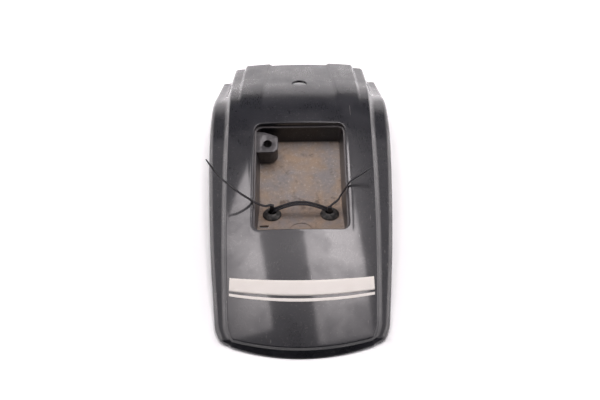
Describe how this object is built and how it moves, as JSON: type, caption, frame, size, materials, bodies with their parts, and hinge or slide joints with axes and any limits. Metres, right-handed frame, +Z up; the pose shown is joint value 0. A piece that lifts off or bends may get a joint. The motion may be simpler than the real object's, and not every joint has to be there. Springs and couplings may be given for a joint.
{
  "type": "motorcycle rear fender",
  "caption": "Moulded rear fender shell for a motorcycle, with a ribbed front deck and a deep tail lamp recess that holds a screw boss, rubber bushes and looped cable ties.",
  "frame": {"origin": "bottom centre of the whole part's box as it lies on a floor; z = 0 is the floor", "axes": "+X across the fender, +Y towards the front of the motorcycle, +Z up from the floor"},
  "size_m": [0.218, 0.4302, 0.1129],
  "materials": {
    "shell": "semi-gloss black moulded plastic",
    "bush": "soft black rubber, dusty",
    "tie": "black nylon"
  },
  "bodies": {
    "root": {"fender": "shell", "bush_left": "bush", "bush_right": "bush", "tie_left": "tie", "tie_right": "tie"}
  },
  "joints": []
}
